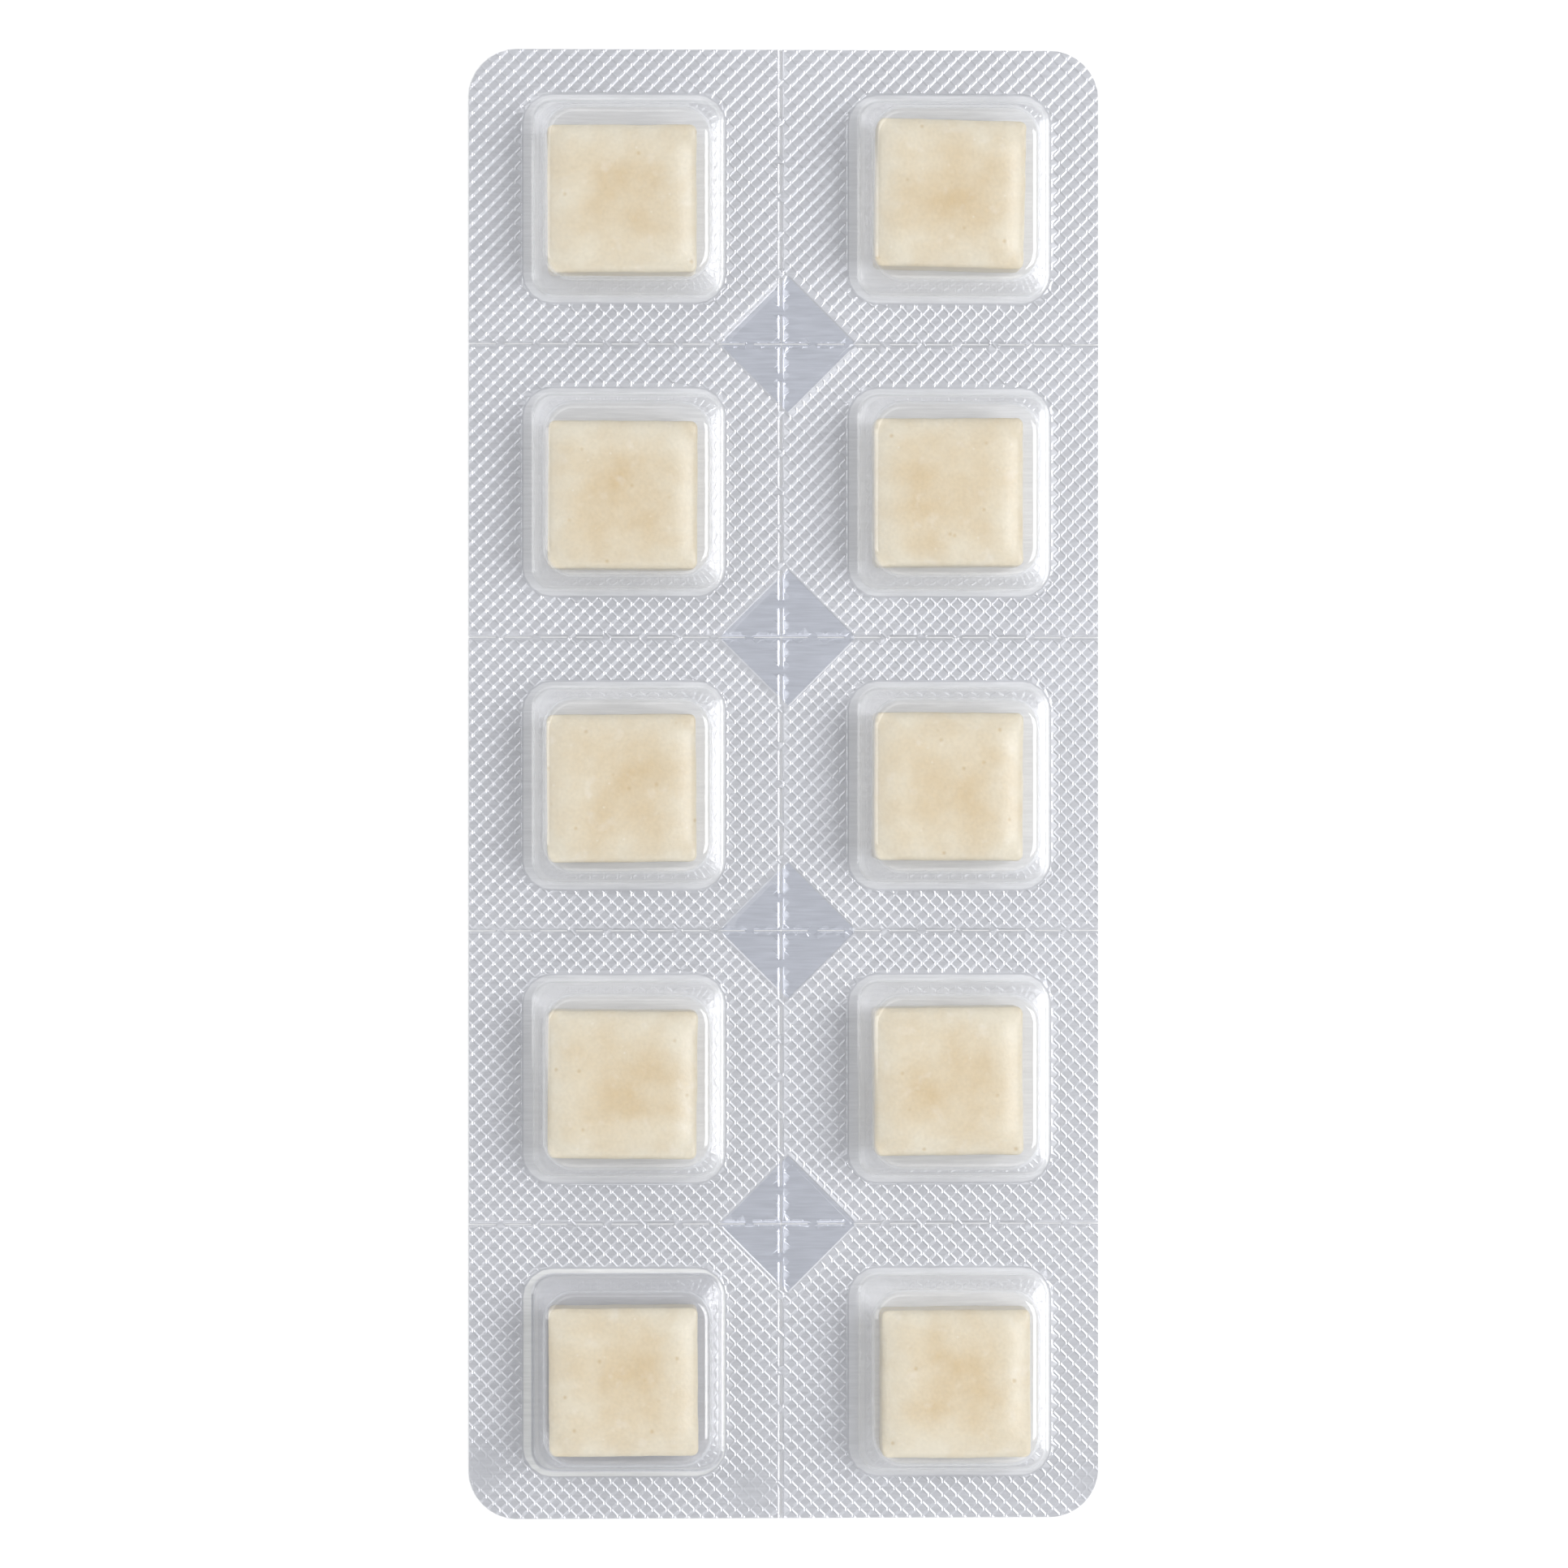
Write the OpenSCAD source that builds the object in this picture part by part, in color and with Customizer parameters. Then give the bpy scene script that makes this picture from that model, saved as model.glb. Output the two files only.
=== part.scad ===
// Ten-pocket gum card: a clear formed film sealed to a lidding foil, one square of gum in each pocket.
// Lengths are in millimetres. The card lies on its foil, pockets up, with the origin under its middle.

/* [Card] */
// Width of one square of the card, from the middle tear line to the side edge
cell_w = 32.2; // [31:0.1:36]
// Length of one square of the card, from one tear line to the next
cell_l = 30; // [28:0.1:36]
// What the two ends of the card have beyond their squares
end_trim = 0.1; // [0:0.05:1]
// Radius of the card's four corners
card_corner_r = 5; // [2:0.1:8]
// Thickness of the clear film
film_t = 0.3; // [0.25:0.01:0.4]
// Thickness of the lidding foil
foil_t = 0.1; // [0.05:0.01:0.2]

/* [Pockets] */
// How much further apart the middles of the two columns stand than the squares of the card
column_spread = 1.1; // [0:0.05:2]
// Sideways shift of the formed pockets against the cut card
forming_shift_x = 0.6; // [-1.5:0.05:1.5]
// Lengthways shift of the formed pockets against the cut card
forming_shift_y = -0.15; // [-1:0.05:1]
// Room between a piece of gum in the middle of its pocket and the pocket's foot, left and right
room_w = 2.325; // [2.1:0.025:2.7]
// Room between the two ends of that piece and the pocket's foot
room_l = 2.75; // [2.1:0.025:3]
// Room between the top of the gum and the inside of the pocket's crown
room_h = 1.1; // [0.9:0.05:1.5]
// Slope of the pocket walls away from upright, in degrees
pocket_draft = 8; // [4:0.5:9]
// Radius of the hollow curve at the foot of the walls
foot_r = 0.45; // [0.3:0.05:0.6]
// Radius of the round edge of the crown
crown_r = 1; // [0.6:0.05:1.2]
// Corner radius of the pocket's outline at its foot, seen from above
foot_corner_r = 2.4; // [1.8:0.1:4]
// Corner radius of the walls just under the crown, seen from above
crown_corner_r = 3.2; // [2.2:0.1:4]

/* [Gum] */
// Width of a piece of gum
gum_w = 15.2; // [14:0.1:15.6]
// Length of a piece of gum
gum_l = 15.1; // [14:0.1:15.6]
// Height of a piece of gum
gum_h = 6; // [5:0.1:6.2]
// Radius of the upright corner edges of a piece
gum_corner_r = 0.7; // [0.3:0.1:1.5]
// Radius of the shoulder round the top of a piece
gum_shoulder_r = 0.9; // [0.4:0.1:1.5]
// Radius of the edge round the foot of a piece
gum_foot_r = 0.4; // [0.2:0.1:1]
// Radius of the gentle crown over the top of a piece
gum_crown_r = 60; // [40:1:120]
// Least gap between a piece of gum and the wall of its pocket
gum_gap = 0.1; // [0.05:0.01:0.3]
// Most that a piece lies turned in its pocket, in degrees
gum_turn = 1.5; // [0:0.1:2]

/* [Tear lines] */
// Distance of the lengthways tear line from the middle of the card
tear_shift_x = -0.3; // [-1:0.05:1]
// Width of the slits
slit_w = 0.12; // [0.08:0.01:0.2]
// Length of a slit in the lengthways line
slit_down_l = 3; // [2:0.1:4]
// Length of a slit in a crosswise line
slit_across_l = 2.8; // [2:0.1:4]
// Least bridge of uncut card between two slits
bridge_l = 0.6; // [0.4:0.05:1]
// Length of the cross cut, where two lines meet, along the card
cross_down_l = 5.9; // [4:0.1:7]
// Length of the cross cut across the card
cross_across_l = 5.6; // [4:0.1:7]
// Width of the crimp that the knife presses round a slit in the lengthways line
crimp_down_w = 0.65; // [0.4:0.05:1]
// Width of the crimp round a slit in a crosswise line
crimp_across_w = 0.5; // [0.4:0.05:1]
// Depth of the crimps in the film
crimp_d = 0.08; // [0.04:0.01:0.1]

/* [Peel tabs] */
// Half of the diagonal of a diamond peel tab
tab_half = 6.95; // [5:0.05:7.2]
// Sideways shift of the peel tabs against the cut card
tab_shift_x = 0.4; // [-1.5:0.05:1.5]
// How far the unsealed tab stands up from the sealed film
tab_rise = 0.12; // [0.05:0.01:0.13]
// Width of the slope round a tab
tab_slope_w = 0.4; // [0.2:0.05:0.6]

/* [Hidden] */
rows = 5;
columns = 2;
side_names = ["left", "right"];
overrun = 0.5;
corner_steps = 5;
foot_steps = 2;
crown_steps = 3;
// Angle at which the foot curve leaves the flat film, so that the two cross cleanly
foot_start_angle = 12;

card_w = columns * cell_w;
card_l = rows * cell_l + 2 * end_trim;
column_pitch = cell_w + column_spread;
film_top = foil_t + film_t;
// A pocket at its foot, where it leaves the flat film, and its crown's height over that film
pocket_w = gum_w + 2 * room_w;
pocket_l = gum_l + 2 * room_l;
pocket_h = gum_h + room_h;

// Where each piece of gum has slid to, as shares of its room, and how far it is turned
gum_slide_shares = [
    [[-0.65, -0.35], [-0.95, 0.2]],
    [[-0.75, -0.5], [-1, -0.2]],
    [[-0.95, -0.3], [-1, -0.1]],
    [[-0.7, -0.35], [-0.95, -0.05]],
    [[-0.85, -0.75], [0.1, -0.65]]
];
gum_turn_shares = [[0.1, -0.9], [-0.2, 0.15], [0.25, -0.3], [-0.35, 0.3], [0.2, 0.1]];

function gum_name(row, side) = str("gum_row", row + 1, "_", side_names[side]);

// Middles of the pockets: row 0 is the far end of the card, side 0 is the left column
function pocket_x(side) = forming_shift_x + (side - (columns - 1) / 2) * column_pitch;
function pocket_y(row) = forming_shift_y + ((rows - 1) / 2 - row) * cell_l;

// Heights of the crosswise tear lines, one between each two rows
tear_ys = [for (row = [1 : rows - 1]) (rows / 2 - row) * cell_l];

// Wall profile of a pocket, as stations of [inset from the foot outline, height, corner radius].
// The depth is 0 for the outside of the film and film_t for the inside.
foot_z = film_top + foot_r * cos(foot_start_angle);
crown_z = film_top + pocket_h - crown_r;
wall_foot_inset = foot_r * cos(pocket_draft);
wall_top_inset = wall_foot_inset
    + tan(pocket_draft) * (crown_z - foot_z + (crown_r + foot_r) * sin(pocket_draft));
crown_inset = wall_top_inset + crown_r * cos(pocket_draft);

function foot_stations(depth) = [
    for (step = [0 : foot_steps])
        let (angle = foot_start_angle
                 + (90 - pocket_draft - foot_start_angle) * step / foot_steps,
             inset = (foot_r + depth) * sin(angle))
        [inset, foot_z - (foot_r + depth) * cos(angle), foot_corner_r - inset]
];
function crown_stations(depth) = [
    for (step = [0 : crown_steps])
        let (angle = pocket_draft + (90 - pocket_draft) * step / crown_steps,
             inset = crown_inset - (crown_r - depth) * cos(angle))
        [inset, crown_z + (crown_r - depth) * sin(angle),
         crown_corner_r - (inset - wall_top_inset)]
];
function wall_stations(depth) = concat(foot_stations(depth), crown_stations(depth));

// One closed outline of a rounded rectangle, at one height, as points of a loft
function outline_ring(half_w, half_l, corner_r, z) = [
    for (quarter = [0 : 3], step = [0 : corner_steps])
        let (angle = 90 * (quarter + step / corner_steps),
             side_x = quarter == 0 || quarter == 3 ? 1 : -1,
             side_y = quarter < 2 ? 1 : -1)
        [side_x * (half_w - corner_r) + corner_r * cos(angle),
         side_y * (half_l - corner_r) + corner_r * sin(angle),
         z]
];

// Closed solid through a stack of rings that have the same number of points, lowest first
module loft(rings) {
    count = len(rings[0]);
    last = len(rings) - 1;
    polyhedron(
        points = [for (ring = rings) each ring],
        faces = concat(
            [[for (point = [0 : count - 1]) point]],
            [for (level = [0 : last - 1], point = [0 : count - 1])
                let (next = (point + 1) % count)
                each [
                    [level * count + point, (level + 1) * count + point, (level + 1) * count + next],
                    [level * count + point, (level + 1) * count + next, level * count + next]
                ]],
            [[for (point = [count - 1 : -1 : 0]) last * count + point]]
        )
    );
}

// Solid form of a pocket: its outside at depth 0, or its hollow at the depth of the film.
// The foot outline carries on straight down to floor_z.
module pocket_form(depth, floor_z) {
    stations = wall_stations(depth);
    foot = stations[0];
    loft([
        for (station = concat([[foot[0], floor_z, foot[2]]], stations))
            outline_ring(pocket_w / 2 - station[0], pocket_l / 2 - station[0], station[2], station[1])
    ]);
}

module at_pockets() {
    for (row = [0 : rows - 1], side = [0 : columns - 1])
        translate([pocket_x(side), pocket_y(row), 0])
            children();
}

// Outline of a rectangle with round corners
module rounded_rectangle(w, l, corner_r) {
    square([w - 2 * corner_r, l], center = true);
    square([w, l - 2 * corner_r], center = true);
    for (x = [-1, 1], y = [-1, 1])
        translate([x * (w / 2 - corner_r), y * (l / 2 - corner_r)])
            circle(r = corner_r, $fn = 48);
}

// The slits on a run of tear line that starts at a cross cut, as [start, end] from there. Between
// two cross cuts there is a bridge on both sides of each slit. Towards the card's edge the last
// slit runs out through the edge.
function inner_slits(run, slit_l) =
    let (count = floor((run - bridge_l) / (slit_l + bridge_l)),
         bridge = (run - count * slit_l) / (count + 1))
    [for (place = [1 : 1 : count])
        [place * (bridge + slit_l) - slit_l, place * (bridge + slit_l)]];
function end_slits(run, slit_l) =
    let (count = floor(run / (slit_l + bridge_l)),
         pitch = run / count)
    [for (place = [1 : 1 : count])
        [place * pitch - slit_l, place * pitch + (place == count ? overrun : 0)]];

// One line of marks along X, each as wide as mark_w
module mark_line(spans, mark_w) {
    for (span = spans)
        translate([span[0], -mark_w / 2])
            square([span[1] - span[0], mark_w]);
}

// All tear lines, with marks as wide as down_w lengthways and across_w crosswise
module tear_marks(down_w, across_w) {
    run_left = card_w / 2 + tear_shift_x - cross_across_l / 2;
    run_right = card_w / 2 - tear_shift_x - cross_across_l / 2;
    run_end = card_l / 2 - tear_ys[0] - cross_down_l / 2;
    for (y = tear_ys)
        translate([tear_shift_x, y]) {
            square([cross_across_l, across_w], center = true);
            square([down_w, cross_down_l], center = true);
            translate([cross_across_l / 2, 0])
                mark_line(end_slits(run_right, slit_across_l), across_w);
            rotate(180)
                translate([cross_across_l / 2, 0])
                    mark_line(end_slits(run_left, slit_across_l), across_w);
        }
    translate([tear_shift_x, 0]) {
        for (turn = [90, -90])
            rotate(turn)
                translate([tear_ys[0] + cross_down_l / 2, 0])
                    mark_line(end_slits(run_end, slit_down_l), down_w);
        for (line = [1 : rows - 2])
            translate([0, tear_ys[line] + cross_down_l / 2])
                rotate(90)
                    mark_line(inner_slits(cell_l - cross_down_l, slit_down_l), down_w);
    }
}

module slits() {
    tear_marks(slit_w, slit_w);
}

// Diamond with sloped edges: two crossed bars of the same section, and what they share. The
// slopes start at base_z, and the form carries on straight down from there by depth.
module diamond_form(base_z, depth) {
    half = tab_half / sqrt(2);
    intersection_for (turn = [45, -45])
        rotate(turn)
            rotate([90, 0, 0])
                linear_extrude(height = 2 * (half + overrun), center = true)
                    polygon([
                        [-half, base_z - depth], [half, base_z - depth], [half, base_z],
                        [half - tab_slope_w, base_z + tab_rise],
                        [tab_slope_w - half, base_z + tab_rise], [-half, base_z]
                    ]);
}

module at_tabs() {
    for (y = tear_ys)
        translate([tab_shift_x, y, 0])
            children();
}

module formed_film() {
    color("#e6edf0", 0.45)
        difference() {
            union() {
                translate([0, 0, foil_t])
                    linear_extrude(height = film_t)
                        rounded_rectangle(card_w, card_l, card_corner_r);
                at_pockets()
                    pocket_form(0, foil_t + film_t / 2);
                at_tabs()
                    diamond_form(film_top, film_t / 2);
            }
            at_pockets()
                pocket_form(film_t, foil_t - overrun);
            at_tabs()
                diamond_form(foil_t, overrun);
            translate([0, 0, film_top - crimp_d])
                linear_extrude(height = crimp_d + tab_rise + overrun)
                    tear_marks(crimp_down_w, crimp_across_w);
            translate([0, 0, foil_t - overrun])
                linear_extrude(height = film_t + tab_rise + 2 * overrun)
                    slits();
        }
}

module lidding_foil() {
    color("#c6cad0")
        linear_extrude(height = foil_t)
            difference() {
                rounded_rectangle(card_w, card_l, card_corner_r);
                slits();
            }
}

// Section of a piece of gum, seen from one side: round edges and a gently crowned top
module gum_section(w) {
    side_h = gum_h - gum_foot_r - gum_shoulder_r;
    intersection() {
        union() {
            translate([0, gum_foot_r + side_h / 2])
                square([w, side_h], center = true);
            translate([gum_foot_r - w / 2, 0])
                square([w - 2 * gum_foot_r, gum_foot_r + side_h]);
            translate([gum_shoulder_r - w / 2, gum_foot_r])
                square([w - 2 * gum_shoulder_r, gum_h - gum_foot_r]);
            for (x = [-1, 1]) {
                translate([x * (w / 2 - gum_shoulder_r), gum_h - gum_shoulder_r])
                    circle(r = gum_shoulder_r, $fn = 48);
                translate([x * (w / 2 - gum_foot_r), gum_foot_r])
                    circle(r = gum_foot_r, $fn = 48);
            }
        }
        translate([0, gum_h - gum_crown_r])
            circle(r = gum_crown_r, $fn = 180);
    }
}

// Hollow of a pocket at a height on its wall, as [inset from the foot outline, height, corner radius]
function pocket_hollow(z) =
    let (low = foot_stations(film_t)[foot_steps],
         high = crown_stations(film_t)[0])
    low + (high - low) * (z - low[1]) / (high[1] - low[1]);

// How far a turned piece has slid from the middle of its pocket. It has the least room level with
// the foot of its shoulder, and it stops short where its corner would reach the pocket's round one.
function gum_slide(shares, turn) =
    let (hollow = pocket_hollow(foil_t + gum_h - gum_shoulder_r),
         room_x = pocket_w / 2 - hollow[0] - gum_gap
             - (gum_w * cos(turn) + gum_l * sin(abs(turn))) / 2,
         room_y = pocket_l / 2 - hollow[0] - gum_gap
             - (gum_l * cos(turn) + gum_w * sin(abs(turn))) / 2,
         slide = [shares[0] * room_x, shares[1] * room_y],
         arc_r = hollow[2] - gum_corner_r - gum_gap,
         start = [arc_r - room_x, arc_r - room_y],
         path = [abs(slide[0]), abs(slide[1])],
         end = start + path)
    min(end) <= 0 || norm(end) <= arc_r
        ? slide
        : slide * (sqrt(pow(path * start, 2) + path * path * (arc_r * arc_r - start * start))
            - path * start) / (path * path);

module gum_piece(row, side) {
    turn = gum_turn * gum_turn_shares[row][side];
    slide = gum_slide(gum_slide_shares[row][side], turn);
    color("#e8dcbe")
        translate([pocket_x(side) + slide[0], pocket_y(row) + slide[1], foil_t])
            rotate(turn)
                intersection() {
                    rotate([90, 0, 0])
                        linear_extrude(height = gum_l, center = true)
                            gum_section(gum_w);
                    rotate([90, 0, 90])
                        linear_extrude(height = gum_w, center = true)
                            gum_section(gum_l);
                    linear_extrude(height = gum_h)
                        rounded_rectangle(gum_w, gum_l, gum_corner_r);
                }
}

formed_film();
lidding_foil();
for (row = [0 : rows - 1], side = [0 : columns - 1])
    gum_piece(row, side);
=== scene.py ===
# %% [markdown]
# Gum card: clear film, knurled foil and ten squares of gum
#
# The real card is three things. A clear plastic film is warmed and blown into ten pockets. A thin
# foil closes their backs: a hot knurled tool presses film and foil together everywhere except at
# the pockets and at four small diamonds, where a finger starts the peel. And a square of gum lies
# loose in each pocket. Each of them becomes a mesh of its own here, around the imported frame.

# %% Load the frame
import math

import bmesh
import bpy
from mathutils import Matrix, Vector, noise


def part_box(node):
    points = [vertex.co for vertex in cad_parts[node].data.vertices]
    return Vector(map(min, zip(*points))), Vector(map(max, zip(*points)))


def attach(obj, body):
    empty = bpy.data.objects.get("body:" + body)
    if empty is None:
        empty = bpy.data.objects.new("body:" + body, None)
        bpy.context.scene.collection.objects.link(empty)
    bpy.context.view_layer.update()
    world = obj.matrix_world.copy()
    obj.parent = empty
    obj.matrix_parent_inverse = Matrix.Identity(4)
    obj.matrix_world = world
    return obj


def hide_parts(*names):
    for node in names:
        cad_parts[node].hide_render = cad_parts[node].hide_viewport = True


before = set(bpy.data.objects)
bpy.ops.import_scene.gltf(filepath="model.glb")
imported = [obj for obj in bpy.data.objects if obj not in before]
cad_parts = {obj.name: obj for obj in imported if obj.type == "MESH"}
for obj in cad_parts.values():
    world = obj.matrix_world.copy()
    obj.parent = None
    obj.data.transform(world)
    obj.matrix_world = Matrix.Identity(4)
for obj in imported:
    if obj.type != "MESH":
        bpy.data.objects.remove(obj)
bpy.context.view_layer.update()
MM = 0.001

# %% [markdown]
# Small helpers for materials
#
# Colours are read off a paint card as sRGB hex codes, and the shader wants linear light, so one
# function turns them. Another adds a node, sets it up and links it in one call. A patterned
# material is then a short list of such calls.


# %% Colour and node helpers
def paint(code):
    """Linear colour of an sRGB hex code such as #e8dcbe."""
    parts = [int(code[place:place + 2], 16) / 255 for place in (1, 3, 5)]
    return [part / 12.92 if part <= 0.04045 else ((part + 0.055) / 1.055) ** 2.4 for part in parts] + [1.0]


def add_node(tree, kind, settings=None, inputs=None):
    """Adds a node. Inputs are values, or sockets of other nodes that are then linked."""
    node = tree.nodes.new(kind)
    for name, value in (settings or {}).items():
        setattr(node, name, value)
    for socket, value in (inputs or {}).items():
        if isinstance(value, bpy.types.NodeSocket):
            tree.links.new(value, node.inputs[socket])
        else:
            node.inputs[socket].default_value = value
    return node


def new_material(name):
    """An empty node material and its output node."""
    material = bpy.data.materials.new(name)
    material.use_nodes = True
    material.node_tree.nodes.clear()
    return material, add_node(material.node_tree, "ShaderNodeOutputMaterial")


def finish_piece(bm, name, material, slot, *nodes):
    """Turns a bmesh in millimetres into a piece of the object that stands for CAD nodes."""
    bmesh.ops.scale(bm, vec=(MM, MM, MM), verts=bm.verts)
    mesh = bpy.data.meshes.new(name)
    bm.to_mesh(mesh)
    bm.free()
    mesh.materials.append(material)
    piece = bpy.data.objects.new(name, mesh)
    bpy.context.scene.collection.objects.link(piece)
    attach(piece, "root")
    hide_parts(*nodes)
    print(name, "has", sum(len(face.vertices) - 2 for face in mesh.polygons), "triangles")
    return piece


# %% [markdown]
# The camera
#
# The card is photographed from straight above, a little from its left. The near end of each
# pocket shows as much wall as the far end of another, so the lens is not far away: 640 mm.

# %% Place the camera
camera_left = 20
camera_height = 640
picture_width = 160.5
sensor_width = 36

camera_place = Vector((-camera_left, 0, camera_height)) * MM
back = camera_place.normalized()
right = Vector((0, 1, 0)).cross(back).normalized()
up = back.cross(right)
camera_data = bpy.data.cameras.new("camera")
camera_data.sensor_width = sensor_width
camera_data.lens = sensor_width * camera_place.length / (picture_width * MM)
camera = bpy.data.objects.new("camera", camera_data)
turn = Matrix((right, up, back)).transposed()
camera.matrix_world = Matrix.Translation(camera_place) @ turn.to_4x4()
bpy.context.scene.collection.objects.link(camera)
bpy.context.scene.camera = camera
print("Lens, in mm:", round(camera_data.lens, 1))

# %% [markdown]
# Sizes of the card
#
# What the frame knows is read from it. The rest are the sizes of the real tooling, in
# millimetres: the forming mould, the knurled sealing plate and the perforating knife.

# %% Read and state the sizes
film_low, film_high = [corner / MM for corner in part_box("formed_film")]
foil_low, foil_high = [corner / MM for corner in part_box("lidding_foil")]
card_w = foil_high.x - foil_low.x
card_l = foil_high.y - foil_low.y
foil_top = foil_high.z
card_corner_r = 5
rows = 5
cell_l = 30
row_ys = [(rows - 1) / 2 * cell_l - row * cell_l for row in range(rows)]
tear_ys = [rows / 2 * cell_l - line * cell_l for line in range(1, rows)]
pocket_xs = [-16.05, 17.25]
pocket_shift_y = -0.15
tear_x = -0.3
print("Card:", round(card_w, 1), "by", round(card_l, 1), "mm")

# %% [markdown]
# One knurled square
#
# The sealing plate leaves a net of thin ridges, 1 mm apart, that run both ways at 45 degrees and
# sink a little where they cross. Bump mapping could fake it, but real ridges catch the light from
# every side. A square of the card starts as one grid. Its lines are moved into groups of three, a
# crest and its two feet, the crests are lifted, the grid is turned by 45 degrees, and what lies
# outside the square is cut off. The net of each square starts from the same crossing, so that
# neighbours join. The plate presses unevenly, and in a few worn spots the net nearly vanishes.

# %% Make the knurled grid
knurl_pitch = 1.0
knurl_h = 0.055
crossing_h = 0.0
ridge_half_w = 0.16
ridge_lines = [0, ridge_half_w, knurl_pitch - ridge_half_w]
worn_spots = [Vector((-3.5, -72.3, 0)), Vector((-31, -70, 0)), Vector((31, -71.5, 0))]
worn_reach = 2.4


def heading(degrees):
    """A level unit vector, turned from +X."""
    return Vector((math.cos(math.radians(degrees)), math.sin(math.radians(degrees)), 0))


def pressed_depth(spot):
    """The share of the net's full height at a spot of the card."""
    share = 0.85 + 0.15 * noise.noise(spot / 12)
    for worn in worn_spots:
        share *= 1 - 0.85 * math.exp(-(spot - worn).length_squared / worn_reach ** 2)
    return share


def knurled_grid(middle, reach):
    """A turned square grid round a point, with its crests lifted. Its feet are at height 0."""
    ridges = math.ceil(reach / knurl_pitch)
    lines = 2 * ridges * len(ridge_lines)
    start = [round(middle.dot(heading(45 + 90 * axis)) / knurl_pitch) - ridges for axis in (0, 1)]
    bm = bmesh.new()
    bmesh.ops.create_grid(bm, x_segments=lines, y_segments=lines, size=0.5)
    for vert in bm.verts:
        u = divmod(round((vert.co.x + 0.5) * lines), len(ridge_lines))
        v = divmod(round((vert.co.y + 0.5) * lines), len(ridge_lines))
        vert.co.x = (start[0] + u[0]) * knurl_pitch + ridge_lines[u[1]]
        vert.co.y = (start[1] + v[0]) * knurl_pitch + ridge_lines[v[1]]
        vert.co.z = (0, knurl_h, crossing_h)[(u[1] == 0) + (v[1] == 0)]
    bmesh.ops.rotate(bm, matrix=Matrix.Rotation(math.radians(45), 3, "Z"), verts=bm.verts)
    for vert in bm.verts:
        if vert.co.z > 0:
            vert.co.z *= pressed_depth(Vector((vert.co.x, vert.co.y, 0)))
    return bm


# %% [markdown]
# Cutting with planes
#
# A bisect cuts faces along a plane and can clear away what lies beyond it. A window, a diamond or
# a slit is an outline of straight sides, a round corner being a few tangents. One bisect for each
# side cuts it into the faces near it, and the faces inside are handed back, ready to be levelled
# or removed. New corners lie on the old edges, so a cut never changes the relief.

# %% Cut along planes and outlines
def cut(bm, faces, point, outward, clear=False):
    """Cuts some faces along an upright plane. Returns the faces that they have become."""
    geometry = set(faces)
    for face in faces:
        geometry.update(face.verts, face.edges)
    result = bmesh.ops.bisect_plane(bm, geom=list(geometry), dist=1e-5, plane_co=point,
                                    plane_no=outward, clear_outer=clear)
    return [item for item in result["geom"] if isinstance(item, bmesh.types.BMFace)]


class Outline:
    """A level rectangle, turned by some degrees about its middle, with sharp or round corners.

    Each of its sides is the way that it faces and how far from the middle it lies.
    """

    def __init__(self, x, y, half_w, half_l, degrees=0, corner_r=0, tangents=0):
        self.middle = Vector((x, y, 0))
        self.sides = []
        for quarter, (reach, turned_reach) in enumerate([(half_w, half_l), (half_l, half_w)] * 2):
            start = degrees + 90 * quarter
            self.sides.append((heading(start), reach))
            corner = heading(start) * (reach - corner_r) + heading(start + 90) * (turned_reach - corner_r)
            for tangent in range(tangents):
                outward = heading(start + 90 * (tangent + 0.5) / tangents)
                self.sides.append((outward, corner.dot(outward) + corner_r))

    def depth(self, point):
        """How far a point is from the nearest side: above 0 inside, below 0 outside."""
        away = point - self.middle
        return min(reach - away.dot(outward) for outward, reach in self.sides)

    def faces_of(self, faces, margin=1e-4):
        """Those of the faces that have their middle in the outline or in a margin round it."""
        return [face for face in faces if face.is_valid and self.depth(face.calc_center_median()) >= -margin]

    def cut_into(self, bm, faces, margin=0):
        """Cuts the faces that cross the outline, or a margin round it. Returns the faces within."""
        within = self.faces_of(faces, margin + knurl_pitch / 2)
        for outward, reach in self.sides:
            side = self.middle + outward * (reach + margin)
            near, far = [], []
            for face in within:
                past = (face.calc_center_median() - side).dot(outward)
                (near if past > -knurl_pitch / 2 else far).append(face)
            within = far + [face for face in cut(bm, near, side, outward)
                            if (face.calc_center_median() - side).dot(outward) < 0]
        return within

    def press(self, faces, z, margin=0):
        """Presses the corners of some faces in the outline, or in a margin round it, to one level."""
        for vert in {vert for face in faces for vert in face.verts}:
            if self.depth(vert.co) > -margin - 1e-4:
                vert.co.z = z


# %% [markdown]
# The tear lines
#
# A toothed knife cuts the card into squares. Each tooth leaves a slit of about 3 mm in a smooth
# crimp: a raised lip, a short slope down and a flat floor. Small bridges between the slits hold
# the card together. Where two lines meet, two longer teeth make a cross. The teeth are spread
# evenly over each run.

# %% List the slits
slit_w = 0.12
down_slit_l = 3.0
across_slit_l = 2.8
bridge_l = 0.6
cross_down_l = 5.9
cross_across_l = 5.6
crimp_down_w = 0.62
crimp_across_w = 0.48
crimp_lip_w = 0.12
edge_overrun = 0.5


def spread_slits(start, end, slit_l, leaves_card):
    """Middles and lengths of the slits from one place to another on a tear line."""
    run = abs(end - start)
    way = 1 if end > start else -1
    count = math.floor((run - (0 if leaves_card else bridge_l)) / (slit_l + bridge_l))
    bridge = (run - count * slit_l) / (count if leaves_card else count + 1)
    spread = []
    for tooth in range(1, count + 1):
        far = tooth * (bridge + slit_l)
        beyond = edge_overrun if leaves_card and tooth == count else 0
        spread.append((start + way * (far - (slit_l - beyond) / 2), slit_l + beyond))
    return spread


# Each slit is kept as three outlines: its crimp's lip, its crimp's floor and its opening
slits = []


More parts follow.
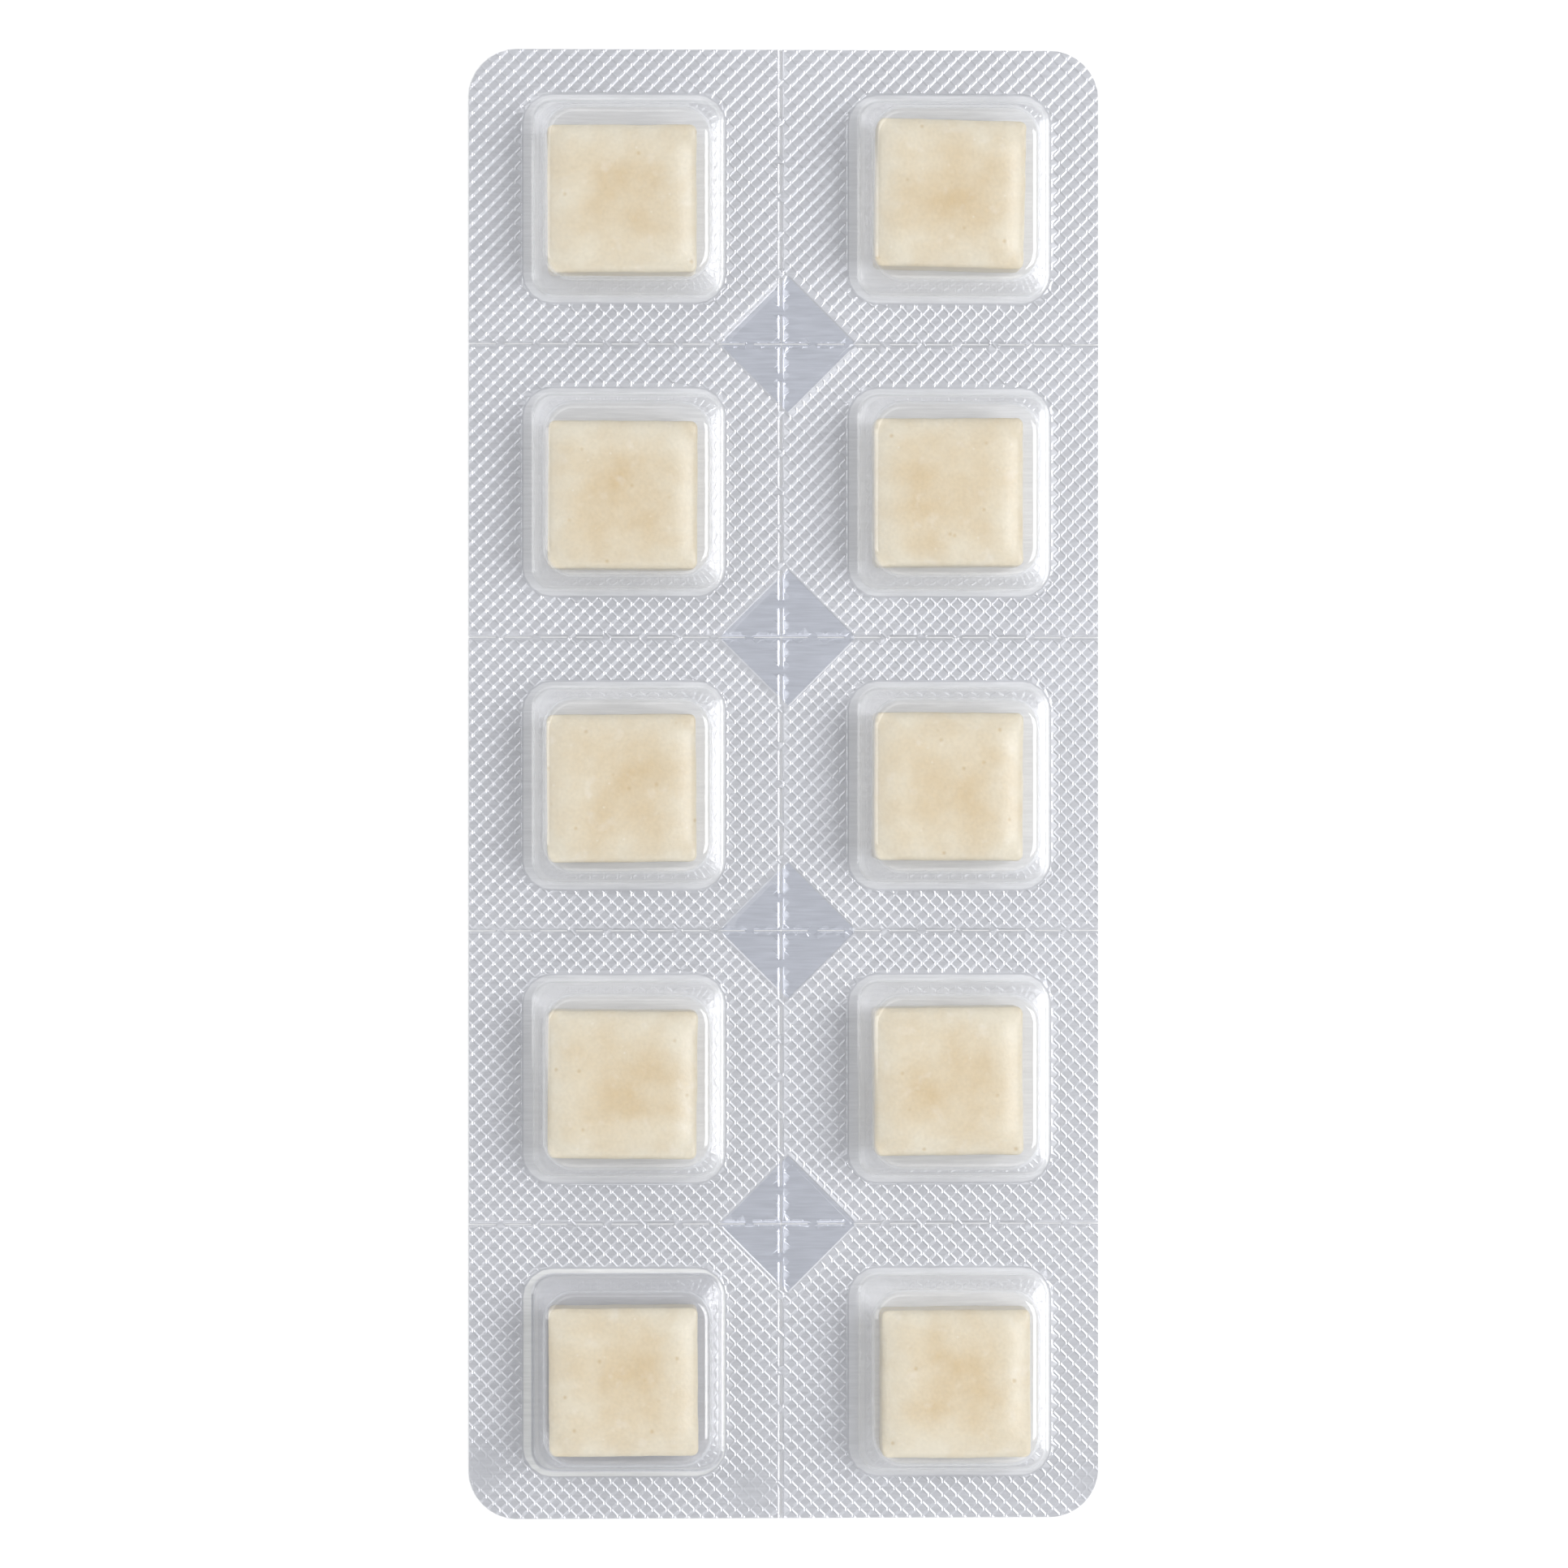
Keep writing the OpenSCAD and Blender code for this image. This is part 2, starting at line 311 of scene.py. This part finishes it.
def add_slit(x, y, length_x, length_y):
    """Adds a slit along X or Y: the other length is 0."""
    crimp_x = length_x or crimp_down_w
    crimp_y = length_y or crimp_across_w
    slits.append((Outline(x, y, crimp_x / 2, crimp_y / 2),
                  Outline(x, y, crimp_x / 2 - (0 if length_x else crimp_lip_w),
                          crimp_y / 2 - (0 if length_y else crimp_lip_w)),
                  Outline(x, y, (length_x or slit_w) / 2, (length_y or slit_w) / 2)))


for tear_y in tear_ys:
    add_slit(tear_x, tear_y, 0, cross_down_l)
    add_slit(tear_x, tear_y, cross_across_l, 0)
    for side in (-1, 1):
        start = tear_x + side * cross_across_l / 2
        for middle, length in spread_slits(start, side * card_w / 2, across_slit_l, True):
            add_slit(middle, tear_y, length, 0)
for way, run_start in ((1, tear_ys[0]), (-1, tear_ys[-1])):
    start = run_start + way * cross_down_l / 2
    for middle, length in spread_slits(start, way * card_l / 2, down_slit_l, True):
        add_slit(tear_x, middle, 0, length)
for upper, lower in zip(tear_ys, tear_ys[1:]):
    start = lower + cross_down_l / 2
    for middle, length in spread_slits(start, upper - cross_down_l / 2, down_slit_l, False):
        add_slit(tear_x, middle, 0, length)
print("Slits:", len(slits))

# %% [markdown]
# The pressed sheet
#
# Film and foil are pressed together, so they share one relief: the knurl, level windows round
# the pockets, sunk diamonds with a lip where the peel starts, and a crimp round each slit. It is
# made once, square by square because small meshes are quick to cut, and joined. Both pieces
# start from it.

# %% Press ten squares and join them
window_w = 20.6
window_l = 21.2
window_shift_x = -0.3
window_corner_r = 3.1
lip_w = 0.15
tab_half = 6.95
tab_x = 0.4
tab_side = tab_half / math.sqrt(2)
card = Outline(0, 0, card_w / 2, card_l / 2, 0, card_corner_r, 8)
windows = [Outline(x + window_shift_x, y + pocket_shift_y, window_w / 2, window_l / 2, 0, window_corner_r, 4)
           for y in row_ys for x in pocket_xs]
tabs = [Outline(tab_x, y, tab_side, tab_side, 45) for y in tear_ys]


def press_level(bm, mark, z, finish):
    """Levels a window or a diamond, within a lip, and gives it the foil's finish of that index."""
    around = mark.cut_into(bm, bm.faces, lip_w)
    mark.press(around, knurl_h, lip_w)
    within = mark.cut_into(bm, around)
    mark.press(within, z)
    for face in within:
        face.material_index = finish
    return within


def press_square(low_x, high_x, low_y, high_y):
    """One square of the card, with every mark that reaches into it."""
    middle = Vector((low_x + high_x, low_y + high_y, 0)) / 2
    bm = knurled_grid(middle, (high_x - low_x + high_y - low_y) / math.sqrt(2) / 2 + knurl_pitch)
    for degrees, reach in ((0, high_x), (90, high_y), (180, -low_x), (270, -low_y)):
        cut(bm, bm.faces[:], heading(degrees) * reach, heading(degrees), clear=True)
    for outward, reach in card.sides:
        near = [face for face in bm.faces if face.calc_center_median().dot(outward) > reach - knurl_pitch]
        cut(bm, near, outward * reach, outward, clear=True)
    for window in windows:
        if low_x < window.middle.x < high_x and low_y < window.middle.y < high_y:
            bmesh.ops.dissolve_faces(bm, faces=press_level(bm, window, knurl_h, 1), use_verts=True)
    for tab in tabs:
        if low_y - 1 < tab.middle.y < high_y + 1:
            press_level(bm, tab, 0, 2)
    for lip, floor, opening in slits:
        if not (low_x - 1 < lip.middle.x < high_x + 1 and low_y - 1 < lip.middle.y < high_y + 1):
            continue
        within = lip.cut_into(bm, bm.faces)
        lip.press(within, knurl_h)
        within = floor.cut_into(bm, within)
        floor.press(within, 0)
        bmesh.ops.delete(bm, geom=opening.cut_into(bm, within), context="FACES")
    return bm


sheet = bmesh.new()
square_xs = [-card_w / 2, tear_x, card_w / 2]
square_ys = [-card_l / 2] + tear_ys[::-1] + [card_l / 2]
for low_x, high_x in zip(square_xs, square_xs[1:]):
    for low_y, high_y in zip(square_ys, square_ys[1:]):
        square = press_square(low_x, high_x, low_y, high_y)
        square_mesh = bpy.data.meshes.new("square")
        square.to_mesh(square_mesh)
        square.free()
        sheet.from_mesh(square_mesh)
        bpy.data.meshes.remove(square_mesh)
bmesh.ops.remove_doubles(sheet, verts=sheet.verts, dist=1e-4)
sheet_mesh = bpy.data.meshes.new("pressed_sheet")
sheet.to_mesh(sheet_mesh)
sheet.free()
print("The pressed sheet has", len(sheet_mesh.polygons), "faces")

# %% [markdown]
# The foil
#
# Lidding foil is soft rolled aluminium, bright where nothing touches it and knurled where it is
# sealed. The relief is its upper face. Solidify would lean its edges with the ridges. So its
# borders, the slits' too, are extruded straight down to a level, and the underside is filled
# between them. Few faces are enough there.

# %% Build the foil
def pressed_sheet(top_z):
    """A copy of the pressed sheet, with its crests at top_z."""
    bm = bmesh.new()
    bm.from_mesh(sheet_mesh)
    bmesh.ops.translate(bm, vec=(0, 0, top_z - knurl_h), verts=bm.verts)
    return bm


def open_edges(bm):
    """The edges with one face only."""
    return [edge for edge in bm.edges if edge.is_boundary]


def extrude_borders(bm, floor_z):
    """Walls from all open edges down to a level."""
    walls = bmesh.ops.extrude_edge_only(bm, edges=open_edges(bm))
    for item in walls["geom"]:
        if isinstance(item, bmesh.types.BMVert):
            item.co.z = floor_z


def fill_between(bm, edges):
    """Fills the level strip that some loops enclose, and turns all faces outward."""
    bmesh.ops.triangle_fill(bm, use_beauty=True, use_dissolve=False, edges=edges)
    bmesh.ops.recalc_face_normals(bm, faces=bm.faces)


foil = pressed_sheet(foil_top)
extrude_borders(foil, foil_low.z)
fill_between(foil, open_edges(foil))

# %% [markdown]
# The foil's three finishes
#
# Lidding foil has a matt heat-seal lacquer on the side that meets the film, so part of the light
# is scattered and pockets cast soft shadows on it. Where it is sealed, the knurl has pressed the
# lacquer clear and the ridges glint. Under a pocket nothing has touched it, and it is lighter and
# more even. In the diamonds the flat tool has ironed it, so it mirrors the room, a little blurred
# and bluish. The lines left by rolling are microns apart: they are drawn 0.2 mm apart to show.

# %% Make the foil's materials
def foil_material(name, colour, metallic, smoothest, roughest):
    """Rolled aluminium foil. Metallic below 1 stands for its layer of lacquer."""
    material, output = new_material(name)
    tree = material.node_tree
    place = add_node(tree, "ShaderNodeTexCoord")
    rolled = add_node(tree, "ShaderNodeMapping", {}, {"Vector": place.outputs["Object"], "Scale": (0.07, 1, 1)})
    roll_lines = add_node(tree, "ShaderNodeTexNoise", {},
                          {"Vector": rolled.outputs[0], "Scale": 1 / (0.2 * MM), "Detail": 3.0})
    roughness = add_node(tree, "ShaderNodeMapRange", {}, {
        "Value": roll_lines.outputs["Fac"], "From Min": 0.3, "From Max": 0.7,
        "To Min": smoothest, "To Max": roughest})
    shade = add_node(tree, "ShaderNodeMapRange", {}, {
        "Value": roll_lines.outputs["Fac"], "From Min": 0.3, "From Max": 0.7, "To Min": 0.88, "To Max": 1.0})
    lined = add_node(tree, "ShaderNodeMix", {"data_type": "RGBA", "blend_type": "MULTIPLY"},
                     {0: 1.0, 6: paint(colour), 7: shade.outputs[0]})
    surface = add_node(tree, "ShaderNodeBsdfPrincipled", {}, {
        "Base Color": lined.outputs[2], "Metallic": metallic, "Roughness": roughness.outputs[0]})
    tree.links.new(surface.outputs[0], output.inputs["Surface"])
    return material


sealed_foil = foil_material("rolled_foil_knurled_through_lacquer", "#d8d9db", 0.5, 0.34, 0.38)
lacquered_foil = foil_material("rolled_foil_matt_lacquer", "#eceded", 0.5, 0.42, 0.48)
ironed_foil = foil_material("rolled_foil_ironed", "#dadde4", 0.75, 0.3, 0.35)

foil_piece = finish_piece(foil, "knurled_foil", sealed_foil, "foil", "lidding_foil")
foil_piece.data.materials.append(lacquered_foil)
foil_piece.data.materials.append(ironed_foil)

# %% [markdown]
# The pockets of the film
#
# A pocket is a warm film blown into a mould: a tight hollow curve at the foot, walls with a
# little draft, and a wider round edge at the crown. Seen from above it is a square with round
# corners at every height, so it is a loft. Each ring of the loft is a bevelled square, and
# bridge_loops closes the wall between two rings. The film turns milky where it is stretched over
# an edge of the mould, at the foot and round the crown, and an attribute marks these heights. The
# material whitens these bands more than milkiness would, and that is a painted highlight line.

# %% Loft one pocket
film_t = 0.28
film_top = film_low.z + 0.3
pocket_w = 19.85
pocket_l = 20.6
pocket_h = film_high.z - film_top
pocket_draft = math.radians(8)
foot_r = 0.45
crown_r = 1.0
foot_corner_r = 2.4
crown_corner_r = 3.2
foot_start = math.radians(12)
foot_steps = 5
crown_steps = 8
corner_steps = 8
# Heights of the whitened bands at the foot and the crown: the stretched film's milkiness plus a painted highlight line
milky_highlight_heights = [(film_top + 0.25, 0.2), (film_high.z - 0.4, 0.32)]


def wall_stations(depth):
    """The pocket's profile, from foot to crown, as inset from the foot outline, height and corner
    radius. The depth is 0 for the film's outer face and its thickness for its inner one."""
    foot_z = film_top + foot_r * math.cos(foot_start)
    crown_z = film_top + pocket_h - crown_r
    slope = math.tan(pocket_draft)
    top_inset = foot_r * math.cos(pocket_draft) + slope * (
        crown_z - foot_z + (crown_r + foot_r) * math.sin(pocket_draft))
    stations = []
    for step in range(foot_steps + 1):
        angle = foot_start + (math.pi / 2 - pocket_draft - foot_start) * step / foot_steps
        inset = (foot_r + depth) * math.sin(angle)
        stations.append((inset, foot_z - (foot_r + depth) * math.cos(angle), foot_corner_r - inset))
    for step in range(crown_steps + 1):
        angle = pocket_draft + (math.pi / 2 - pocket_draft) * step / crown_steps
        inset = top_inset + crown_r * math.cos(pocket_draft) - (crown_r - depth) * math.cos(angle)
        stations.append((inset, crown_z + (crown_r - depth) * math.sin(angle),
                         crown_corner_r - (inset - top_inset)))
    return stations


def add_ring(bm, inset, z, corner_r):
    """A rounded rectangle as one face. Returns the face."""
    grid = bmesh.ops.create_grid(bm, x_segments=1, y_segments=1, size=1)
    bmesh.ops.scale(bm, vec=(pocket_w / 2 - inset, pocket_l / 2 - inset, 1), verts=grid["verts"])
    bmesh.ops.translate(bm, vec=(0, 0, z), verts=grid["verts"])
    rounded = bmesh.ops.bevel(bm, geom=grid["verts"], offset=corner_r, affect="VERTICES",
                              segments=corner_steps, profile=0.5, material=-1)
    return next(face for face in rounded["verts"][0].link_faces)


def pocket_shell(depth):
    """One face of a pocket's wall and crown, open at its foot."""
    bm = bmesh.new()
    rings = []
    for inset, z, corner_r in wall_stations(depth):
        rings.append(add_ring(bm, inset, z, corner_r))
    loops = [list(ring.edges) for ring in rings]
    bmesh.ops.delete(bm, geom=rings[:-1], context="FACES_ONLY")
    for lower, upper in zip(loops, loops[1:]):
        bmesh.ops.bridge_loops(bm, edges=lower + upper)
    bmesh.ops.recalc_face_normals(bm, faces=bm.faces)
    # Marks the outer face's bands that the material whitens, partly milkiness, partly a painted highlight line
    milky_and_highlight = bm.verts.layers.float.new("milky_and_highlight")
    for vert in bm.verts if depth == 0 else []:
        vert[milky_and_highlight] = max(0, *(1 - abs(vert.co.z - level) / reach for level, reach in milky_highlight_heights))
    mesh = bpy.data.meshes.new("pocket")
    bm.to_mesh(mesh)
    bm.free()
    return mesh


outer_shell = pocket_shell(0)
inner_shell = pocket_shell(film_t)
print("A pocket's shell has", len(outer_shell.polygons), "faces and stands", round(pocket_h, 2), "mm high")

# %% [markdown]
# The whole film
#
# The film starts from the pressed sheet too. Its diamonds stand up a little, because nothing
# holds them down. The pane in each window makes way for a pocket's outer shell, and the narrow
# flat strip round its foot is filled. Then the borders go down to the foil, and the underside is
# filled between them and the ten inner shells.

# %% Build the film
film_floor_z = foil_top + 0.02
tab_rise = 0.12
tab_slope_w = 0.4


def add_pocket(bm, shell, window):
    """Sets a pocket's shell into a window. Returns the edges of its foot."""
    before = len(bm.verts)
    bm.from_mesh(shell)
    bm.verts.ensure_lookup_table()
    verts = [bm.verts[place] for place in range(before, len(bm.verts))]
    bmesh.ops.translate(bm, vec=window.middle - Vector((window_shift_x, 0, 0)), verts=verts)
    return [edge for edge in {edge for vert in verts for edge in vert.link_edges} if edge.is_boundary]


film = pressed_sheet(film_top)
for face in film.faces:
    face.material_index = 0
for tab in tabs:
    for vert in {vert for face in tab.faces_of(film.faces) for vert in face.verts}:
        vert.co.z += (knurl_h + tab_rise) * max(0, min(1, tab.depth(vert.co) / tab_slope_w))
for window in windows:
    panes = window.faces_of(film.faces)
    border = list(panes[0].edges)
    bmesh.ops.delete(film, geom=panes, context="FACES_ONLY")
    fill_between(film, border + add_pocket(film, outer_shell, window))
extrude_borders(film, film_floor_z)
for window in windows:
    add_pocket(film, inner_shell, window)
fill_between(film, open_edges(film))
print("The film's box, in mm:", [round(min(v.co[a] for v in film.verts), 3) for a in range(3)],
      [round(max(v.co[a] for v in film.verts), 3) for a in range(3)])

# %% [markdown]
# The film's material
#
# The film is clear PVC. It is too thin to bend light much, so it is not refracting glass but a
# mix. Most light passes straight through, and a mirrored share grows towards a grazing view, by
# Schlick's formula. A Fresnel node would mirror everything on the way out of a sheet whose rays
# aren't bent, and the walls would turn black. Warm forming also leaves a faint milky haze, which
# shows where one looks along a wall and so through more of it.

# %% Make the film's material
film_material, output = new_material("clear_pvc_film")
tree = film_material.node_tree
mirrored_head_on = 0.043
haze_head_on = 0.02
haze_along = 0.08
# Extra white haze in the marked bands: part milkiness, part a painted highlight line along the foot and the crown edge
haze_and_highlight_at_edges = 0.3
through = add_node(tree, "ShaderNodeBsdfTransparent", {}, {"Color": paint("#fdfdfe")})
haze = add_node(tree, "ShaderNodeBsdfDiffuse", {}, {"Color": paint("#e2e5ea")})
thrown_back = add_node(tree, "ShaderNodeBsdfGlossy", {}, {"Color": (1, 1, 1, 1), "Roughness": 0.07})
slant = add_node(tree, "ShaderNodeLayerWeight", {}, {"Blend": 0.5})
mirror_power = add_node(tree, "ShaderNodeMath", {"operation": "POWER"}, {0: slant.outputs["Facing"], 1: 5.0})
mirror_share = add_node(tree, "ShaderNodeMapRange", {}, {"Value": mirror_power.outputs[0], "To Min": mirrored_head_on})
haze_power = add_node(tree, "ShaderNodeMath", {"operation": "POWER"}, {0: slant.outputs["Facing"], 1: 2.0})
haze_share = add_node(tree, "ShaderNodeMapRange", {},
                      {"Value": haze_power.outputs[0], "To Min": haze_head_on, "To Max": haze_along})
milky_and_highlight = add_node(tree, "ShaderNodeAttribute", {"attribute_name": "milky_and_highlight"})
milky_and_highlight_share = add_node(tree, "ShaderNodeMath", {"operation": "MULTIPLY_ADD"},
                       {0: milky_and_highlight.outputs["Fac"], 1: haze_and_highlight_at_edges, 2: haze_share.outputs[0]})
hazy = add_node(tree, "ShaderNodeMixShader", {},
                {0: milky_and_highlight_share.outputs[0], 1: through.outputs[0], 2: haze.outputs[0]})
film_mix = add_node(tree, "ShaderNodeMixShader", {},
                    {0: mirror_share.outputs[0], 1: hazy.outputs[0], 2: thrown_back.outputs[0]})
tree.links.new(film_mix.outputs[0], output.inputs["Surface"])

film_piece = finish_piece(film, "blown_film", film_material, "clear_film", "formed_film")
film_piece.data.shade_smooth()
film_piece.data.set_sharp_from_angle(angle=math.radians(30))

# %% [markdown]
# The gum
#
# A piece of gum is cut from a soft rolled sheet: upright corners, and a top that slopes down
# towards its edges like a cushion. A box with three sets of bevels gives the edges. Bisects then
# lay a fine net over it, and the net is moved: into the cushion's slope, and by small dents, so
# that no face is truly flat. How near a point is to the edge is kept in an attribute, because the
# gum gets paler towards it.

# %% Model the ten pieces of gum
gum_turns = [[0.15, -1.35], [-0.3, 0.225], [0.375, -0.45], [-0.525, 0.45], [0.3, 0.15]]
gum_w = 15.2
gum_l = 15.1
gum_h = 6.0
gum_corner_r = 0.7
gum_shoulder_r = 0.6
gum_foot_r = 0.4
slope_w = 2.8
slope_h = 0.75
net_pitch = 0.6
dent_depth = 0.06
dent_size = 2.2
paler_w = 5.5


def bevel_edges(bm, chosen, radius, segments):
    """Rounds the chosen edges."""
    edges = [edge for edge in bm.edges if chosen(edge)]
    bmesh.ops.bevel(bm, geom=edges, offset=radius, affect="EDGES", segments=segments, profile=0.5, material=-1)


def near_edge(spot, reach):
    """From 0, well inside the gum, to 1 at its edge, within a reach of that edge."""
    near_x = max(0, 1 - (gum_w / 2 - abs(spot.x)) / reach)
    near_y = max(0, 1 - (gum_l / 2 - abs(spot.y)) / reach)
    return min(1, math.hypot(near_x, near_y))


def gum_body(seed):
    """One pressed square of gum with its foot at height 0."""
    bm = bmesh.new()
    bmesh.ops.create_cube(bm, size=1)
    bmesh.ops.scale(bm, vec=(gum_w, gum_l, gum_h), verts=bm.verts)
    bmesh.ops.translate(bm, vec=(0, 0, gum_h / 2), verts=bm.verts)
    bevel_edges(bm, lambda edge: abs(edge.verts[0].co.z - edge.verts[1].co.z) > gum_h / 2, gum_corner_r, 4)
    bevel_edges(bm, lambda edge: min(vert.co.z for vert in edge.verts) > gum_h - 1e-4, gum_shoulder_r, 5)
    bevel_edges(bm, lambda edge: max(vert.co.z for vert in edge.verts) < 1e-4, gum_foot_r, 3)
    for axis, half in ((0, gum_w / 2), (1, gum_l / 2)):
        lines = math.floor((half - gum_shoulder_r) / net_pitch)
        for line in range(-lines, lines + 1):
            outward = heading(90 * axis)
            bmesh.ops.bisect_plane(bm, geom=bm.verts[:] + bm.edges[:] + bm.faces[:], dist=1e-5,
                                   plane_co=outward * line * net_pitch, plane_no=outward)
    for level in (1.3, 2.3, 3.3, 4.3, 4.8):
        bmesh.ops.bisect_plane(bm, geom=bm.verts[:] + bm.edges[:] + bm.faces[:], dist=1e-5,
                               plane_co=(0, 0, level), plane_no=(0, 0, 1))
    bm.normal_update()
    rim = bm.verts.layers.float.new("rim")
    for vert in bm.verts:
        down_slope = near_edge(vert.co, slope_w)
        vert[rim] = near_edge(vert.co, paler_w)
        spot = (vert.co + Vector((0, 0, 50 * seed))) / dent_size
        dent = noise.noise(spot) + 0.5 * noise.noise(2.3 * spot)
        free = min(1, vert.co.z / gum_foot_r)
        vert.co += vert.normal * (dent - 0.6) * dent_depth * free
        vert.co.z -= slope_h * down_slope ** 2 * max(0, vert.co.z / gum_h) ** 4
    return bm


# %% [markdown]
# The gum's material
#
# Gum base, sweetener and a dusting of powder give a cream colour that isn't even: tan clouds in
# the middle, paler edges, powder as white patches and specks, and tiny pits. Its surface is dull with
# a faint waxy shine, and a fine grain breaks up the highlight.

# %% Make the gum's material
gum_material, output = new_material("rolled_chewing_gum")
tree = gum_material.node_tree
place = add_node(tree, "ShaderNodeTexCoord")
cloud_size = 3.6
grain_size = 0.35
speck_spacing = 1.8
patch_size = 1.6
pit_spacing = 2.4
clouds = add_node(tree, "ShaderNodeTexNoise", {},
                  {"Vector": place.outputs["Object"], "Scale": 1 / (cloud_size * MM), "Detail": 4.0})
rim = add_node(tree, "ShaderNodeAttribute", {"attribute_name": "rim"})
paleness = add_node(tree, "ShaderNodeMath", {"operation": "MULTIPLY_ADD"},
                    {0: rim.outputs["Fac"], 1: 0.42, 2: clouds.outputs["Fac"]})
pale_share = add_node(tree, "ShaderNodeMapRange", {},
                      {"Value": paleness.outputs[0], "From Min": 0.22, "From Max": 1.0})
body = add_node(tree, "ShaderNodeMix", {"data_type": "RGBA"},
                {0: pale_share.outputs[0], 6: paint("#d3bb8e"), 7: paint("#e5dcc4")})
grain = add_node(tree, "ShaderNodeTexNoise", {},
                 {"Vector": place.outputs["Object"], "Scale": 1 / (grain_size * MM), "Detail": 3.0})
grain_shade = add_node(tree, "ShaderNodeMapRange", {}, {
    "Value": grain.outputs["Fac"], "From Min": 0.3, "From Max": 0.7, "To Min": 0.95, "To Max": 1.03})
grained = add_node(tree, "ShaderNodeMix", {"data_type": "RGBA", "blend_type": "MULTIPLY"},
                   {0: 1.0, 6: body.outputs[2], 7: grain_shade.outputs[0]})
specks = add_node(tree, "ShaderNodeTexVoronoi", {},
                  {"Vector": place.outputs["Object"], "Scale": 1 / (speck_spacing * MM)})
speck_share = add_node(tree, "ShaderNodeMapRange", {}, {
    "Value": specks.outputs["Distance"], "From Min": 0.02, "From Max": 0.08, "To Min": 0.5, "To Max": 0.0})
patches = add_node(tree, "ShaderNodeTexNoise", {},
                   {"Vector": place.outputs["Object"], "Scale": 1 / (patch_size * MM), "Detail": 6.0})
patch_share = add_node(tree, "ShaderNodeMapRange", {}, {
    "Value": patches.outputs["Fac"], "From Min": 0.6, "From Max": 0.76, "To Min": 0.0, "To Max": 0.3})
powder_share = add_node(tree, "ShaderNodeMath", {"operation": "MAXIMUM"},
                        {0: speck_share.outputs[0], 1: patch_share.outputs[0]})
specked = add_node(tree, "ShaderNodeMix", {"data_type": "RGBA"},
                   {0: powder_share.outputs[0], 6: grained.outputs[2], 7: paint("#f2ece0")})
pits = add_node(tree, "ShaderNodeTexVoronoi", {},
                {"Vector": place.outputs["Object"], "Scale": 1 / (pit_spacing * MM)})
pit_share = add_node(tree, "ShaderNodeMapRange", {}, {
    "Value": pits.outputs["Distance"], "From Min": 0.04, "From Max": 0.12, "To Min": 0.6, "To Max": 0.0})
pitted = add_node(tree, "ShaderNodeMix", {"data_type": "RGBA"},
                  {0: pit_share.outputs[0], 6: specked.outputs[2], 7: paint("#c9b184")})
pit_floor = add_node(tree, "ShaderNodeMath", {"operation": "MULTIPLY_ADD"},
                     {0: pit_share.outputs[0], 1: -1.2, 2: grain.outputs["Fac"]})
relief = add_node(tree, "ShaderNodeBump", {},
                  {"Strength": 0.5, "Distance": 0.06 * MM, "Height": pit_floor.outputs[0]})
surface = add_node(tree, "ShaderNodeBsdfPrincipled", {}, {
    "Base Color": pitted.outputs[2], "Roughness": 0.36, "IOR": 1.45, "Normal": relief.outputs[0]})
tree.links.new(surface.outputs[0], output.inputs["Surface"])

# %% Set the gum in its pockets
for row in range(rows):
    for side, side_name in enumerate(("left", "right")):
        node_name = f"gum_row{row + 1}_{side_name}"
        low, high = [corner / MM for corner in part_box(node_name)]
        gum = gum_body(2 * row + side)
        turned = Matrix.Rotation(math.radians(gum_turns[row][side]), 3, "Z")
        bmesh.ops.rotate(gum, matrix=turned, verts=gum.verts)
        bmesh.ops.translate(gum, vec=((low.x + high.x) / 2, (low.y + high.y) / 2, low.z), verts=gum.verts)
        piece = finish_piece(gum, f"pressed_gum_row{row + 1}_{side_name}", gum_material, "gum", node_name)
        piece.data.shade_smooth()

# %% [markdown]
# Floor and light
#
# The card lies on plain white paper, in a white room. A key softbox stands on its right and gives
# each gum and pocket wall a soft shadow on the left. A large one above the far end brightens the
# level foil. Two weak strips, low on the left and in front, draw thin lines of light along the
# edges of the film.

# %% Set the stage
floor_bm = bmesh.new()
bmesh.ops.create_grid(floor_bm, x_segments=1, y_segments=1, size=2)
bmesh.ops.translate(floor_bm, vec=(0, 0, -0.05 * MM), verts=floor_bm.verts)
floor_mesh = bpy.data.meshes.new("floor")
floor_bm.to_mesh(floor_mesh)
floor_bm.free()
floor = bpy.data.objects.new("floor", floor_mesh)
bpy.context.scene.collection.objects.link(floor)
floor_material, output = new_material("white_paper")
surface = add_node(floor_material.node_tree, "ShaderNodeBsdfDiffuse", {}, {"Color": paint("#f7f7f7")})
floor_material.node_tree.links.new(surface.outputs[0], output.inputs["Surface"])
floor_mesh.materials.append(floor_material)


def add_softbox(name, place, size_x, size_y, power, colour="#ffffff"):
    """A rectangular area light that looks at the middle of the card."""
    data = bpy.data.lights.new(name, "AREA")
    data.shape = "RECTANGLE"
    data.size = size_x
    data.size_y = size_y
    data.energy = power
    data.color = paint(colour)[:3]
    light = bpy.data.objects.new(name, data)
    light.location = place
    light.rotation_euler = Vector(place).to_track_quat("Z", "Y").to_euler()
    bpy.context.scene.collection.objects.link(light)


add_softbox("key_softbox", (0.48, 0.01, 0.55), 0.42, 0.42, 4.1)
add_softbox("top_softbox", (-0.35, 0.5, 0.85), 0.9, 0.5, 2.2)
add_softbox("left_strip", (-0.55, 0.05, 0.32), 0.2, 0.5, 0.9)
add_softbox("front_strip", (0.05, -0.6, 0.38), 0.7, 0.3, 1.2)

world = bpy.data.worlds.new("studio")
world.use_nodes = True
world.node_tree.nodes["Background"].inputs["Color"].default_value = paint("#eceef0")
world.node_tree.nodes["Background"].inputs["Strength"].default_value = 0.47
bpy.context.scene.world = world
bpy.context.scene.view_settings.view_transform = "Standard"
